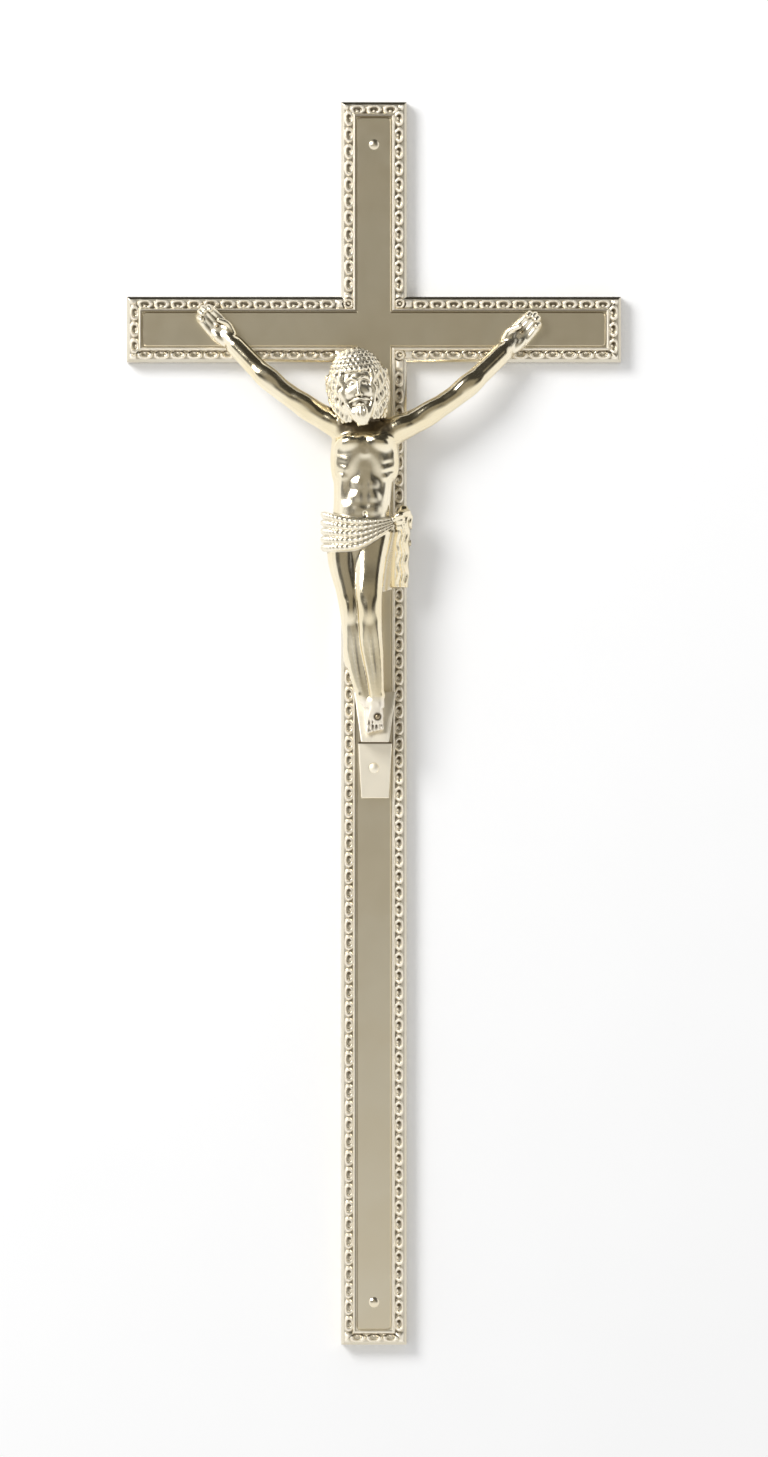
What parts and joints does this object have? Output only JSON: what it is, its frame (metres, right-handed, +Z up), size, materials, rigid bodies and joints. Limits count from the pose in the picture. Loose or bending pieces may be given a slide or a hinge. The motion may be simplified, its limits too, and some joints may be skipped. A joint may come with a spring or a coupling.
{
  "type": "crucifix",
  "caption": "Pale-gold plated crucifix with a carved bead border, a bright inlaid panel, a nailed figure and a foot rest, held by domed pins.",
  "frame": {"origin": "centre of the crossing, on the back rim's plane", "axes": "+X to the viewer's right, +Y back towards the wall or lid, +Z up towards the top of the upright; the front faces -Y"},
  "size_m": [0.1412, 0.0344, 0.355],
  "materials": {
    "plated_moulding": "bright pale-gold plating on a moulding",
    "panel_plate": "satin pale-gold plate",
    "plated_figure": "polished pale-gold plating on a moulding",
    "plated_rest": "polished pale-gold plating",
    "plated_pin": "polished"
  },
  "bodies": {
    "root": {"cross_shell": "plated_moulding", "face_panel": "panel_plate", "corpus": "plated_figure", "suppedaneum": "plated_rest", "left_palm_nail": "plated_pin", "right_palm_nail": "plated_pin", "feet_nail": "plated_pin", "top_pin": "plated_pin", "foot_pin": "plated_pin", "bottom_pin": "plated_pin"}
  },
  "joints": []
}
